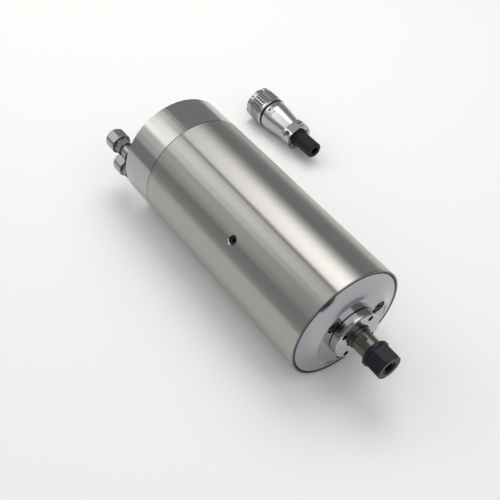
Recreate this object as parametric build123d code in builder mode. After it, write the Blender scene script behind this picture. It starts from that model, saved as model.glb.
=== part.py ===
from build123d import *
import os
from math import atan2, cos, degrees, radians, sin, tan

# Water cooled motor spindle for a small milling machine, with its loose power plug.
# Units are millimetres. The spindle axis is X, the collet nut points along +X and Z is up.
# The origin lies on the spindle axis, in the plane of the body's front end.
# The motor lies on its side as it does on a bench, and the plug lies beside it.
# Angles round the spindle axis are counted from +Y towards +Z.

os.makedirs("parts", exist_ok=True)

# Body
body_diameter = 82.0
tube_length = 161.0
tube_wall = 4.0
rear_cover_length = 29.0
rear_cover_wall = 8.0
rear_spigot_length = 7.0
rear_cavity_wall = 8.95
rim_chamfer = 0.5
seam_chamfer = 0.25
rear_chamfer = 1.0
seat_gap = 0.05
head_gap = 0.3
tap_runout = 1.0
cut_over = 1.0
body_radius = body_diameter / 2
tube_bore_radius = body_radius - tube_wall
spigot_radius = tube_bore_radius - seat_gap
rear_cavity_radius = spigot_radius - rear_cavity_wall
rear_seam_x = -tube_length
rear_face_x = rear_seam_x - rear_cover_length
floor_z = -body_radius

# Front cover, a shallow crowned disc with a flat land round its bore
cover_lip = 1.6
cover_seat_depth = 6.0
cover_rise = 5.0
cover_crown = 0.7
cover_gap = 0.1
cover_rim_radius = body_radius - cover_lip - cover_gap
cover_back_x = -cover_seat_depth
land_x = cover_rise

# Cover screws, M4 socket cap screws in counterbores beside the lock ring
screw_radius = 2.0
screw_head_radius = 3.5
screw_head_height = 4.0
screw_key_width = 3.0
screw_key_depth = 2.0
counterbore_radius = 4.25
counterbore_depth = 4.4
counterbore_gap = 0.2
cover_screw_count = 3
cover_screw_angle = 16.0
cover_screw_length = 18.0

# Bearing lock ring with four spanner holes
ring_radius = 17.25
ring_height = 6.0
ring_edge = 0.6
spanner_hole_radius = 2.0
spanner_hole_circle = 13.9
spanner_hole_depth = 4.0
spanner_hole_count = 4
spanner_hole_angle = 54.0
cover_land_margin = 0.55
cover_screw_circle = ring_radius + counterbore_radius + counterbore_gap
cover_land_radius = cover_screw_circle + counterbore_radius + cover_land_margin
ring_face_x = land_x + ring_height

# Front bearings, an angular contact pair with a spacer
front_bearing_bore = 7.5
front_bearing_outer = 16.0
front_bearing_width = 9.0
front_ball_radius = 2.35
front_ball_count = 8
spacer_width = 3.0
front_bearing_x = -1.0
housing_shoulder = 4.0
housing_bore_step = 2.5
race_gap = 0.1
race_depth_share = 0.8
cage_wall_share = 0.4
cage_width_share = 1.4
oring_radius = 0.75
oring_setback = 5.0
oring_groove_width = 2.0
front_pair_back_x = front_bearing_x - 2 * front_bearing_width - spacer_width
housing_back_x = front_pair_back_x - housing_shoulder

# Rear bearing, its bracket and the disc spring that preloads it
rear_bearing_bore = 6.0
rear_bearing_outer = 14.0
rear_bearing_width = 8.0
rear_ball_radius = 2.0
rear_ball_count = 8
bracket_length = 18.0
bracket_rim = 7.0
bracket_web = 6.0
bracket_lip = 2.0
bracket_hub_wall = 4.0
hub_overhang = 1.0
wire_hole_count = 3
wire_hole_angle = 60.0
wire_hole_radius = 3.5
spring_height = 1.8
spring_thickness = 0.5
spring_width = 1.9
bracket_back_x = rear_seam_x + rear_spigot_length
bracket_front_x = bracket_back_x + bracket_length
rear_bearing_x = bracket_front_x - bracket_lip - spring_height

# Stator, rotor and water jacket
jacket_wall = 5.9
jacket_groove_depth = 3.0
jacket_groove_width = 8.0
jacket_land_width = 3.0
jacket_middle_land = 9.0
jacket_grooves_each_side = 3
stator_length = 70.0
stator_wall = 10.55
stator_slot_count = 12
stator_slot_width = 4.0
stator_slot_depth = 6.5
slot_liner = 0.15
winding_overhang = 12.0
winding_wall = 7.5
winding_corner = 2.25
air_gap = 0.5
rotor_bore_radius = 9.0
rotor_end_ring_width = 4.0
rotor_end_ring_gap = 3.0
rotor_end_ring_step = 1.0
stator_radius = spigot_radius - jacket_wall
stator_bore_radius = stator_radius - stator_wall
jacket_front_x = housing_back_x
jacket_back_x = bracket_front_x
stator_middle_x = (jacket_front_x + jacket_back_x) / 2
rotor_radius = stator_bore_radius - air_gap

# Shaft and its nose
shaft_gap = 0.02
nose_radius = 7.0
nose_length = 33.5
seal_land_radius = 7.85
seal_land_end_x = 13.0
seal_gap = 0.3
inner_shoulder_radius = 9.3
inner_shoulder_length = 3.0
wrench_flat_width = 12.8
wrench_flat_start_x = 13.6
wrench_flat_length = 5.6
wrench_flat_angle = 116.0
shaft_edge = 0.5
shaft_relief_length = 8.0
rear_shoulder_height = 1.5
shaft_tail = 4.0
lock_nut_length = 6.0
lock_nut_radius = 11.0
lock_nut_slot_count = 4
lock_nut_slot_width = 3.0
circlip_width = 1.0
circlip_height = 1.6
circlip_gap_width = 2.5

# Collet and collet nut, the size called ER11
collet_bore_radius = 3.0
collet_length = 17.5
collet_front_x = 37.5
collet_radius = 5.75
collet_half_angle = 8.0
collet_slot_width = 0.6
collet_slot_count = 6
collet_slot_angle = 7.5
collet_slot_length = 13.65
collet_collar = 2.6
collet_groove_width = 1.0
collet_groove_depth = 0.7
collet_land = 1.0
collet_cone_angle = 30.0
collet_runout = 1.0
thread_gap = 0.08
nut_radius = 9.5
nut_across_flats = 17.0
nut_back_x = 24.0
nut_front_x = 38.5
nut_flat_start_x = 27.0
nut_mouth_radius = 4.5
nut_mouth_flare = 0.8
nut_chamfer = 1.1
nut_back_chamfer = 1.2
nut_thread_edge = 0.4
nut_lip_gap = 0.1
nut_flat_angle = 116.0

# Hole with a locking screw in the side of the tube
side_hole_x = -74.7
side_hole_angle = 137.7
side_screw_radius = 3.0
side_screw_length = 4.0
side_screw_sink = 1.8
side_chamfer = 0.5

# Hose fittings on the rear face
port_inset = 6.5
port_middle_angle = 185.5
port_spread = 41.0
port_thread_radius = 4.0
port_thread_length = 7.5
port_washer_radius = 6.6
port_washer_thickness = 1.2
port_neck_radius = 4.6
port_neck_length = 9.0
port_collar_height = 1.0
port_collar_length = 1.5
port_edge = 0.5
port_hex_width = 11.0
port_hex_length = 6.0
port_screw_radius = 5.5
port_screw_length = 8.0
hose_bore_radius = 1.8
hose_nozzle_radius = 2.5
hose_nozzle_length = 4.0
hose_nut_radius = 7.5
hose_nut_width = 14.0
hose_nut_length = 12.0
hose_nut_angle = 30.0
hose_nut_dome = 3.0
hose_nut_dome_face = 1.0
hose_nut_dome_drop = 1.5
hose_nut_edge = 0.4
hose_mouth_length = 2.0
hose_radius = 4.0
water_way_radius = 1.5
water_way_depth = 3.75
port_circle = body_radius - port_inset
water_way_circle = spigot_radius - water_way_depth
port_angles = (port_middle_angle - port_spread / 2, port_middle_angle + port_spread / 2)

# Power socket on the rear face, four pins in a threaded shell
socket_offset_y = 9.0
socket_thread_radius = 9.5
socket_shell_wall = 1.5
socket_reach = 11.0
socket_flange_radius = 13.0
socket_flange_thickness = 2.0
socket_depth = 7.0
socket_nut_width = 24.0
socket_nut_thickness = 3.0
pin_radius = 1.0
pin_circle = 4.0
pin_count = 4
pin_angle = 45.0
pin_reach = 6.0
insert_thickness = 9.0
socket_mouth_depth = 3.0
socket_edge = 0.4
pin_tail = 4.0

# Rear cover screws
rear_screw_inset = 4.45
rear_screw_count = 3
rear_screw_reach = 10.0
rear_screw_circle = spigot_radius - rear_screw_inset

# Loose plug, lying beside the motor with its coupling ring to the rear and rolled a little
plug_y = 99.6
plug_roll = 18.0
plug_front_x = -222.0
plug_ring_radius = 13.0
plug_ring_length = 18.0
plug_ring_edge = 0.4
plug_ring_lip = 3.0
plug_scallop_count = 8
plug_scallop_depth = 0.9
plug_scallop_radius = 2.7
plug_scallop_length = 4.0
plug_seal_width = 1.5
plug_seal_step = 0.2
plug_shell_radius = 12.0
plug_shell_straight = 4.5
plug_shell_taper = 20.0
plug_neck_radius = 9.2
plug_shell_wall = 1.6
plug_flat_start = 6.5
plug_flat_depth = 0.4
plug_flat_length = 22.0
plug_flat_width = 8.0
plug_clamp_length = 8.5
plug_clamp_width = 20.9
plug_clamp_height = 17.8
plug_clamp_corner = 7.2
plug_clamp_gap = 1.2
plug_pit_radius = 2.6
plug_pit_height = 3.6
plug_screw_radius = 1.25
plug_screw_head_radius = 2.3
plug_screw_head_height = 1.6
plug_screw_slot = 0.6
plug_screw_offset = 7.3
plug_screw_reach = 4.0
plug_tap_depth = 4.5
plug_barrel_wall = 1.2
plug_barrel_setback = 2.0
plug_key_width = 2.0
plug_key_length = 8.0
contact_wall = 0.7
contact_gap = 0.1
contact_bore_length = 8.0
contact_setback = 1.0
contact_tail = 2.0
plug_insert_back = 3.0
sleeve_radius = 6.3
sleeve_waist_radius = 5.4
sleeve_bore_radius = 3.3
sleeve_length = 28.0
sleeve_tail = 2.0
sleeve_edge = 0.8
sleeve_flange_radius = 7.4
sleeve_flange_width = 2.2
sleeve_flange_face = 1.4
grub_radius = 1.25
grub_length = 1.4
grub_rise = 0.1
plug_z = floor_z + plug_ring_radius
plug_seam_x = plug_front_x + plug_ring_length
plug_shell_x = plug_seam_x + plug_seal_width
plug_taper_x = plug_shell_x + plug_shell_straight
plug_clamp_x = plug_taper_x + plug_shell_taper
plug_back_x = plug_clamp_x + plug_clamp_length
socket_centre = (socket_offset_y, 0)
plug_centre = (plug_y, plug_z)


def turn(*points, mode=Mode.ADD):
    """Turn a closed outline of (x, radius) points round the spindle axis."""
    with BuildSketch() as outline:
        with BuildLine():
            Polyline(*points, close=True)
        make_face()
    revolve(outline.sketch, axis=Axis.X, mode=mode)


def ring(x_low, x_high, inner, outer, mode=Mode.ADD):
    """A plain ring round the spindle axis."""
    turn((x_low, inner), (x_high, inner), (x_high, outer), (x_low, outer), mode=mode)


def rods(x_low, x_high, radius, places, mode=Mode.ADD):
    """Round bars or holes along X at a list of (y, z) places."""
    with BuildSketch(Plane.YZ.offset(x_low)) as section:
        with Locations(*places):
            Circle(radius)
    extrude(section.sketch, amount=x_high - x_low, mode=mode)


def hexes(x_low, x_high, across_flats, places, mode=Mode.ADD):
    """Hexagonal bars or sockets along X at a list of (y, z) places."""
    with BuildSketch(Plane.YZ.offset(x_low)) as section:
        with Locations(*places):
            RegularPolygon(across_flats / 2, 6, major_radius=False)
    extrude(section.sketch, amount=x_high - x_low, mode=mode)


def turned_at(centre, *points, mode=Mode.ADD):
    """Turn an outline of (x, radius) points round a line parallel to X through (y, z)."""
    line = Axis((0, centre[0], centre[1]), (1, 0, 0))
    with BuildSketch(Plane((0, centre[0], centre[1]))) as outline:
        with BuildLine():
            Polyline(*points, close=True)
        make_face()
    revolve(outline.sketch, axis=line, mode=mode)


def on_circle(radius, angle):
    """The (y, z) place at an angle on a circle round the spindle axis."""
    return (radius * cos(radians(angle)), radius * sin(radians(angle)))


def circle_of(radius, count, start):
    """The (y, z) places of a bolt circle."""
    return [on_circle(radius, start + 360 * step / count) for step in range(count)]


cover_screw_places = circle_of(cover_screw_circle, cover_screw_count, cover_screw_angle)
spanner_places = circle_of(spanner_hole_circle, spanner_hole_count, spanner_hole_angle)
rear_screw_places = circle_of(rear_screw_circle, rear_screw_count, 0)
port_places = [on_circle(port_circle, angle) for angle in port_angles]
water_way_places = [on_circle(water_way_circle, angle) for angle in port_angles]


# Housing tube, with the seat of the front cover and the threaded hole in its side
side_direction = Vector(0, *on_circle(1, side_hole_angle))
side_mouth = Plane(
    origin=Vector(side_hole_x, 0, 0) + side_direction * body_radius,
    x_dir=(1, 0, 0),
    z_dir=side_direction,
)
with BuildPart() as housing_tube:
    ring(rear_seam_x, 0, tube_bore_radius, body_radius)
    ring(cover_back_x, 0, tube_bore_radius, body_radius - cover_lip, mode=Mode.SUBTRACT)
    outer_rims = housing_tube.edges().filter_by(GeomType.CIRCLE).group_by(SortBy.RADIUS)[-1]
    chamfer(outer_rims.sort_by(Axis.X)[0], seam_chamfer)
    with BuildSketch(side_mouth.offset(-2 * tube_wall)) as side_bore:
        Circle(side_screw_radius + seat_gap)
    extrude(side_bore.sketch, amount=3 * tube_wall, mode=Mode.SUBTRACT)
    with BuildSketch(side_mouth.offset(-side_chamfer)) as side_sink_low:
        Circle(side_screw_radius + seat_gap)
    with BuildSketch(side_mouth.offset(side_chamfer)) as side_sink_high:
        Circle(side_screw_radius + seat_gap + 2 * side_chamfer)
    loft([side_sink_low.sketch.face(), side_sink_high.sketch.face()], mode=Mode.SUBTRACT)
housing_tube.part.label = "housing_tube"
export_step(housing_tube.part, "parts/housing_tube.step")

# Locking screw in that hole, its tip in the water jacket's middle land
with BuildPart() as side_lock_screw:
    with BuildSketch(side_mouth.offset(-side_screw_sink)) as side_screw_end:
        Circle(side_screw_radius)
        RegularPolygon(screw_key_width / 2, 6, major_radius=False, mode=Mode.SUBTRACT)
    extrude(side_screw_end.sketch, amount=-screw_key_depth)
    with BuildSketch(side_mouth.offset(-side_screw_sink - screw_key_depth)) as side_screw_tip:
        Circle(side_screw_radius)
    extrude(side_screw_tip.sketch, amount=-(side_screw_length - screw_key_depth))
side_lock_screw.part.label = "side_lock_screw"
export_step(side_lock_screw.part, "parts/side_lock_screw.step")

# Front cover
cover_bore_radius = ring_radius + seat_gap
bearing_seat_radius = front_bearing_outer + seat_gap
with BuildPart() as front_cover:
    with BuildSketch() as cover_outline:
        with BuildLine():
            cover_rim = Polyline(
                (land_x, cover_land_radius),
                (land_x, cover_bore_radius),
                (front_bearing_x, cover_bore_radius),
                (front_bearing_x, bearing_seat_radius),
                (cover_back_x, bearing_seat_radius),
                (cover_back_x, cover_rim_radius),
                (-rim_chamfer, cover_rim_radius),
                (0, cover_rim_radius - rim_chamfer),
            )
            SagittaArc(cover_rim @ 1, cover_rim @ 0, -cover_crown)
        make_face()
    revolve(cover_outline.sketch, axis=Axis.X)
    rods(cover_back_x, land_x, screw_radius + seat_gap, cover_screw_places, mode=Mode.SUBTRACT)
    rods(land_x - counterbore_depth, land_x, counterbore_radius, cover_screw_places, mode=Mode.SUBTRACT)
front_cover.part.label = "front_cover"
export_step(front_cover.part, "parts/front_cover.step")

# Screws that hold the front cover to the bearing housing
screw_seat_x = land_x - counterbore_depth
with BuildPart() as front_cover_screws:
    rods(screw_seat_x, screw_seat_x + screw_head_height, screw_head_radius, cover_screw_places)
    rods(screw_seat_x - cover_screw_length, screw_seat_x, screw_radius, cover_screw_places)
    key_x = screw_seat_x + screw_head_height - screw_key_depth
    hexes(key_x, land_x, screw_key_width, cover_screw_places, mode=Mode.SUBTRACT)
front_cover_screws.part.label = "front_cover_screws"
export_step(front_cover_screws.part, "parts/front_cover_screws.step")

# Bearing housing behind the cover, with the shoulder that the bearing pair rests on
oring_x = cover_back_x - oring_setback
oring_centre = spigot_radius - oring_radius
with BuildPart() as front_bearing_housing:
    turn(
        (housing_back_x, front_bearing_outer - housing_bore_step),
        (housing_back_x, spigot_radius),
        (cover_back_x, spigot_radius),
        (cover_back_x, bearing_seat_radius),
        (front_pair_back_x, bearing_seat_radius),
        (front_pair_back_x, front_bearing_outer - housing_bore_step),
    )
    groove_floor = oring_centre - oring_radius - seat_gap
    groove_x = oring_x - oring_groove_width / 2
    ring(groove_x, groove_x + oring_groove_width, groove_floor, spigot_radius, mode=Mode.SUBTRACT)
    tapped_x = screw_seat_x - cover_screw_length - tap_runout
    rods(tapped_x, cover_back_x, screw_radius + seat_gap, cover_screw_places, mode=Mode.SUBTRACT)
front_bearing_housing.part.label = "front_bearing_housing"
export_step(front_bearing_housing.part, "parts/front_bearing_housing.step")

# Front sealing ring
with BuildPart() as front_oring:
    with BuildSketch() as front_oring_section:
        with Locations((oring_x, oring_centre)):
            Circle(oring_radius)
    revolve(front_oring_section.sketch, axis=Axis.X)
front_oring.part.label = "front_oring"
export_step(front_oring.part, "parts/front_oring.step")

# Lock ring that screws down on the bearing pair
with BuildPart() as bearing_lock_ring:
    ring_bore = seal_land_radius + seal_gap
    shoulder_end_x = front_bearing_x + inner_shoulder_length + seal_gap
    turn(
        (front_bearing_x, inner_shoulder_radius + seal_gap),
        (front_bearing_x, ring_radius),
        (ring_face_x - ring_edge, ring_radius),
        (ring_face_x, ring_radius - ring_edge),
        (ring_face_x, ring_bore + ring_edge),
        (ring_face_x - ring_edge, ring_bore),
        (shoulder_end_x, ring_bore),
        (shoulder_end_x, inner_shoulder_radius + seal_gap),
    )
    hole_x = ring_face_x - spanner_hole_depth
    rods(hole_x, ring_face_x, spanner_hole_radius, spanner_places, mode=Mode.SUBTRACT)
bearing_lock_ring.part.label = "bearing_lock_ring"
export_step(bearing_lock_ring.part, "parts/bearing_lock_ring.step")


def bearing_sizes(bore, outer, ball):
    """Ball circle and ring shoulders of a bearing with the given bore, outside and ball radius."""
    pitch = (bore + outer) / 2
    return pitch, pitch - ball * race_depth_share, pitch + ball * race_depth_share


front_pitch, front_inner_edge, front_outer_edge = bearing_sizes(
    front_bearing_bore, front_bearing_outer, front_ball_radius
)
rear_pitch, rear_inner_edge, rear_outer_edge = bearing_sizes(
    rear_bearing_bore, rear_bearing_outer, rear_ball_radius
)
front_low_xs = (front_bearing_x - front_bearing_width, front_pair_back_x)
rear_low_x = rear_bearing_x - rear_bearing_width


def raceway(middle_x, pitch, ball):
    """Cut the groove that the balls run in."""
    with BuildSketch() as groove:
        with Locations((middle_x, pitch)):
            Circle(ball + race_gap)
    revolve(groove.sketch, axis=Axis.X, mode=Mode.SUBTRACT)


# Outer rings of the front pair, with the spacer between them
with BuildPart() as front_outer_rings:
    for low_x in front_low_xs:
        ring(low_x, low_x + front_bearing_width, front_outer_edge, front_bearing_outer)
        raceway(low_x + front_bearing_width / 2, front_pitch, front_ball_radius)
front_outer_rings.part.label = "front_outer_rings"
export_step(front_outer_rings.part, "parts/front_outer_rings.step")

with BuildPart() as outer_spacer:
    ring(front_low_xs[1] + front_bearing_width, front_low_xs[0], front_outer_edge, front_bearing_outer)
outer_spacer.part.label = "outer_spacer"
export_step(outer_spacer.part, "parts/outer_spacer.step")

with BuildPart() as rear_outer_ring:
    ring(rear_low_x, rear_bearing_x, rear_outer_edge, rear_bearing_outer)
    raceway(rear_low_x + rear_bearing_width / 2, rear_pitch, rear_ball_radius)
rear_outer_ring.part.label = "rear_outer_ring"
export_step(rear_outer_ring.part, "parts/rear_outer_ring.step")

# Inner rings, which turn with the shaft
with BuildPart() as front_inner_rings:
    for low_x in front_low_xs:
        ring(low_x, low_x + front_bearing_width, front_bearing_bore, front_inner_edge)
        raceway(low_x + front_bearing_width / 2, front_pitch, front_ball_radius)
front_inner_rings.part.label = "front_inner_rings"
export_step(front_inner_rings.part, "parts/front_inner_rings.step")

with BuildPart() as inner_spacer:
    ring(front_low_xs[1] + front_bearing_width, front_low_xs[0], front_bearing_bore, front_inner_edge)
inner_spacer.part.label = "inner_spacer"
export_step(inner_spacer.part, "parts/inner_spacer.step")

with BuildPart() as rear_inner_ring:
    ring(rear_low_x, rear_bearing_x, rear_bearing_bore, rear_inner_edge)
    raceway(rear_low_x + rear_bearing_width / 2, rear_pitch, rear_ball_radius)
rear_inner_ring.part.label = "rear_inner_ring"
export_step(rear_inner_ring.part, "parts/rear_inner_ring.step")


def balls_at(middle_x, pitch, ball, count):
    """One row of balls on their circle."""
    with Locations(*[(middle_x, y, z) for y, z in circle_of(pitch, count, 0)]):
        Sphere(ball)


def cage_at(middle_x, pitch, ball, count):
    """One cage, a ring with a pocket for each ball."""
    half_wall = ball * cage_wall_share
    half_width = ball * cage_width_share
    ring(middle_x - half_width, middle_x + half_width, pitch - half_wall, pitch + half_wall)
    with Locations(*[(middle_x, y, z) for y, z in circle_of(pitch, count, 0)]):
        Sphere(ball + race_gap, mode=Mode.SUBTRACT)


with BuildPart() as front_balls:
    for low_x in front_low_xs:
        balls_at(low_x + front_bearing_width / 2, front_pitch, front_ball_radius, front_ball_count)
front_balls.part.label = "front_balls"
export_step(front_balls.part, "parts/front_balls.step")

with BuildPart() as front_cages:
    for low_x in front_low_xs:
        cage_at(low_x + front_bearing_width / 2, front_pitch, front_ball_radius, front_ball_count)
front_cages.part.label = "front_cages"
export_step(front_cages.part, "parts/front_cages.step")

with BuildPart() as rear_balls:
    balls_at(rear_low_x + rear_bearing_width / 2, rear_pitch, rear_ball_radius, rear_ball_count)
rear_balls.part.label = "rear_balls"
export_step(rear_balls.part, "parts/rear_balls.step")

with BuildPart() as rear_cage:
    cage_at(rear_low_x + rear_bearing_width / 2, rear_pitch, rear_ball_radius, rear_ball_count)
rear_cage.part.label = "rear_cage"
export_step(rear_cage.part, "parts/rear_cage.step")

# Water jacket, a sleeve with ring grooves that slots join on alternate sides
groove_floor_radius = spigot_radius - jacket_groove_depth
groove_pitch = jacket_groove_width + jacket_land_width
first_groove = (jacket_middle_land + jacket_groove_width) / 2
groove_middles = sorted(
    side_hole_x + side * (first_groove + step * groove_pitch)
    for side in (-1, 1)
    for step in range(jacket_grooves_each_side)
)
with BuildPart() as water_jacket:
    ring(jacket_back_x, jacket_front_x, stator_radius + seat_gap, spigot_radius)
    for middle_x in groove_middles:
        half = jacket_groove_width / 2
        rim = spigot_radius + cut_over
        ring(middle_x - half, middle_x + half, groove_floor_radius, rim, mode=Mode.SUBTRACT)
    for step in range(len(groove_middles) - 1):
        span = groove_middles[step + 1] - groove_middles[step]
        crossing = port_angles[0] + 180 * (step % 2) + 90
        with BuildSketch(Plane.YZ.offset(groove_middles[step])) as slot_section:
            with PolarLocations(spigot_radius, 1, start_angle=crossing):
                Rectangle(2 * jacket_groove_depth, jacket_groove_width)
        extrude(slot_section.sketch, amount=span, mode=Mode.SUBTRACT)
    rods(jacket_back_x, groove_middles[0], water_way_radius, water_way_places, mode=Mode.SUBTRACT)
    tip_depth = side_screw_sink + side_screw_length + seat_gap
    with BuildSketch(side_mouth.offset(-tip_depth)) as tip_hole:
        Circle(side_screw_radius + seat_gap)
    extrude(tip_hole.sketch, amount=tip_depth, mode=Mode.SUBTRACT)
water_jacket.part.label = "water_jacket"
export_step(water_jacket.part, "parts/water_jacket.step")

# Stator core, with the slots that hold the winding
stator_front_x = stator_middle_x + stator_length / 2
stator_back_x = stator_middle_x - stator_length / 2
with BuildPart() as stator_core:
    ring(stator_back_x, stator_front_x, stator_bore_radius, stator_radius)
    with BuildSketch(Plane.YZ.offset(stator_back_x)) as slots:
        with PolarLocations(stator_bore_radius + (stator_slot_depth - cut_over) / 2, stator_slot_count):
            Rectangle(stator_slot_depth + cut_over, stator_slot_width)
    extrude(slots.sketch, amount=stator_length, mode=Mode.SUBTRACT)
stator_core.part.label = "stator_core"
export_step(stator_core.part, "parts/stator_core.step")

# Winding, bars through the slots joined by a rounded end turn at each end
winding_inner = stator_bore_radius + slot_liner
with BuildPart() as stator_winding:
    with BuildSketch(Plane.YZ.offset(stator_back_x - slot_liner)) as bars:
        with PolarLocations(stator_bore_radius + stator_slot_depth / 2, stator_slot_count):
            Rectangle(stator_slot_depth - 2 * slot_liner, stator_slot_width - 2 * slot_liner)
    extrude(bars.sketch, amount=stator_length + 2 * slot_liner)
    for end_x, facing in ((stator_front_x + slot_liner, 1), (stator_back_x - slot_liner, -1)):
        with BuildSketch() as end_turn:
            with Locations((end_x + facing * winding_overhang / 2, winding_inner + winding_wall / 2)):
                RectangleRounded(winding_overhang, winding_wall, winding_corner)
        revolve(end_turn.sketch, axis=Axis.X)
stator_winding.part.label = "stator_winding"
export_step(stator_winding.part, "parts/stator_winding.step")

# Rotor core and the cast rings at its ends
with BuildPart() as rotor_core:
    ring(stator_back_x, stator_front_x, rotor_bore_radius + shaft_gap, rotor_radius)
rotor_core.part.label = "rotor_core"
export_step(rotor_core.part, "parts/rotor_core.step")

with BuildPart() as rotor_end_rings:
    end_ring_inner = rotor_bore_radius + rotor_end_ring_gap
    end_ring_outer = rotor_radius - rotor_end_ring_step
    for low_x in (stator_front_x, stator_back_x - rotor_end_ring_width):
        ring(low_x, low_x + rotor_end_ring_width, end_ring_inner, end_ring_outer)
rotor_end_rings.part.label = "rotor_end_rings"
export_step(rotor_end_rings.part, "parts/rotor_end_rings.step")

# Collet, a slit taper with a snap groove and a front cone
collet_back_x = collet_front_x - collet_length
collet_taper_x = collet_front_x - collet_collar - collet_groove_width
collet_back_radius = collet_radius - (collet_taper_x - collet_back_x) * tan(radians(collet_half_angle))
collet_groove_radius = collet_radius - collet_groove_depth
collet_cone_radius = collet_radius - (collet_collar - collet_land) * tan(radians(collet_cone_angle))
with BuildPart() as collet:
    turn(
        (collet_back_x, collet_bore_radius),
        (collet_back_x, collet_back_radius),
        (collet_taper_x, collet_radius),
        (collet_taper_x, collet_groove_radius),
        (collet_taper_x + collet_groove_width, collet_groove_radius),
        (collet_taper_x + collet_groove_width, collet_radius),
        (collet_front_x - collet_collar + collet_land, collet_radius),
        (collet_front_x, collet_cone_radius),
        (collet_front_x, collet_bore_radius),
    )
    slit_middle = (collet_radius + collet_bore_radius) / 2
    slot_ends = ((collet_front_x - collet_slot_length, 0), (collet_back_x, 180 / collet_slot_count))
    for slot_x, shift in slot_ends:
        slit_start = collet_slot_angle + shift
        with BuildSketch(Plane.YZ.offset(slot_x)) as slits:
            with PolarLocations(slit_middle, collet_slot_count, start_angle=slit_start):
                Rectangle(collet_radius, collet_slot_width)
        extrude(slits.sketch, amount=collet_slot_length, mode=Mode.SUBTRACT)
collet.part.label = "collet"
export_step(collet.part, "parts/collet.step")

# Shaft, turned in one piece, with the collet taper in its nose and two wrench flats
taper_slope = tan(radians(collet_half_angle))
mouth_radius = collet_back_radius + (nose_length - collet_back_x) * taper_slope + seat_gap
taper_end_x = collet_back_x - collet_runout
taper_end_radius = collet_back_radius - collet_runout * taper_slope + seat_gap
relief_end_x = taper_end_x - shaft_relief_length
lock_nut_back_x = front_pair_back_x - lock_nut_length
shaft_tail_x = rear_low_x - shaft_tail
circlip_x = rear_low_x - circlip_width
with BuildPart() as shaft:
    turn(
        (shaft_tail_x, 0),
        (shaft_tail_x, rear_bearing_bore - shaft_gap - shaft_edge),
        (shaft_tail_x + shaft_edge, rear_bearing_bore - shaft_gap),
        (circlip_x, rear_bearing_bore - shaft_gap),
        (circlip_x, rear_bearing_bore - circlip_height / 2),
        (rear_low_x, rear_bearing_bore - circlip_height / 2),
        (rear_low_x, rear_bearing_bore - shaft_gap),
        (rear_bearing_x, rear_bearing_bore - shaft_gap),
        (rear_bearing_x, rear_bearing_bore + rear_shoulder_height),
        (stator_back_x - rotor_end_ring_width, rotor_bore_radius),
        (lock_nut_back_x, rotor_bore_radius),
        (lock_nut_back_x, front_bearing_bore - shaft_gap),
        (front_bearing_x, front_bearing_bore - shaft_gap),
        (front_bearing_x, inner_shoulder_radius),
        (front_bearing_x + inner_shoulder_length, inner_shoulder_radius),
        (front_bearing_x + inner_shoulder_length, seal_land_radius),
        (seal_land_end_x, seal_land_radius),
        (seal_land_end_x, nose_radius),
        (nose_length - shaft_edge, nose_radius),
        (nose_length, nose_radius - shaft_edge),
        (nose_length, mouth_radius),
        (taper_end_x, taper_end_radius),
        (relief_end_x, taper_end_radius),
        (relief_end_x - taper_end_radius, 0),
    )
    flat_middle_x = wrench_flat_start_x + wrench_flat_length / 2
    flat_cut = nose_radius
    for side in (0, 180):
        flat_normal = Vector(0, *on_circle(1, wrench_flat_angle + side))
        flat_plane = Plane(
            origin=Vector(flat_middle_x, 0, 0) + flat_normal * (wrench_flat_width / 2),
            x_dir=(1, 0, 0),
            z_dir=flat_normal,
        )
        with BuildSketch(flat_plane) as flat_area:
            Rectangle(wrench_flat_length, 2 * flat_cut)
        extrude(flat_area.sketch, amount=flat_cut, mode=Mode.SUBTRACT)
shaft.part.label = "shaft"
export_step(shaft.part, "parts/shaft.step")

# Slotted nut that clamps the inner rings on the shaft
with BuildPart() as shaft_lock_nut:
    ring(lock_nut_back_x, front_pair_back_x, front_bearing_bore, lock_nut_radius)
    with BuildSketch(Plane.YZ.offset(lock_nut_back_x)) as nut_slots:
        with PolarLocations(lock_nut_radius, lock_nut_slot_count):
            Rectangle(lock_nut_slot_width, lock_nut_slot_width)
    extrude(nut_slots.sketch, amount=lock_nut_length / 2, mode=Mode.SUBTRACT)
shaft_lock_nut.part.label = "shaft_lock_nut"
export_step(shaft_lock_nut.part, "parts/shaft_lock_nut.step")

# Open ring that keeps the rear bearing on the shaft
with BuildPart() as circlip:
    circlip_inner = rear_bearing_bore - circlip_height / 2 + shaft_gap
    ring(circlip_x + shaft_gap, rear_low_x - shaft_gap, circlip_inner, circlip_inner + circlip_height)
    with BuildSketch(Plane.YZ.offset(circlip_x)) as circlip_gap:
        with Locations((0, rear_bearing_bore)):
            Rectangle(circlip_gap_width, 2 * circlip_height)
    extrude(circlip_gap.sketch, amount=circlip_width, mode=Mode.SUBTRACT)
circlip.part.label = "circlip"
export_step(circlip.part, "parts/circlip.step")

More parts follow.
